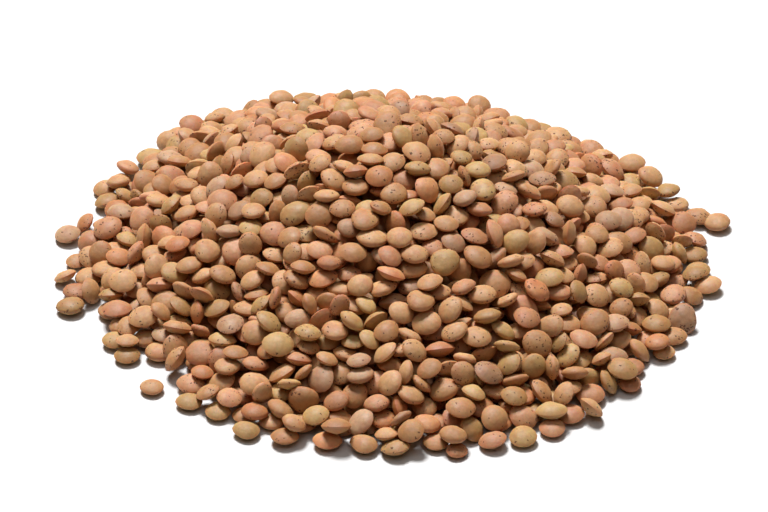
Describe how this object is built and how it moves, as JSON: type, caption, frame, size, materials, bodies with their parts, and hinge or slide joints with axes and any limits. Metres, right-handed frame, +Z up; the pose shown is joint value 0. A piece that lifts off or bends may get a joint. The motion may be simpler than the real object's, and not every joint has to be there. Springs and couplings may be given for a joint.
{
  "type": "heap of dry brown lentils",
  "caption": "Loose heap of dry brown lentils, a low blunt cone as poured on a bare surface, with one lentil lying apart from its foot.",
  "frame": {"origin": "on the ground under the top of the heap", "axes": "+Z up, -Y towards the camera of the picture, +X to its right"},
  "size_m": [0.1252, 0.1271, 0.0296],
  "materials": {
    "seed_coat": "satin seed coat, tan to brown"
  },
  "bodies": {
    "root": {"heap": "seed_coat", "stray_lentil": "seed_coat"}
  },
  "joints": []
}
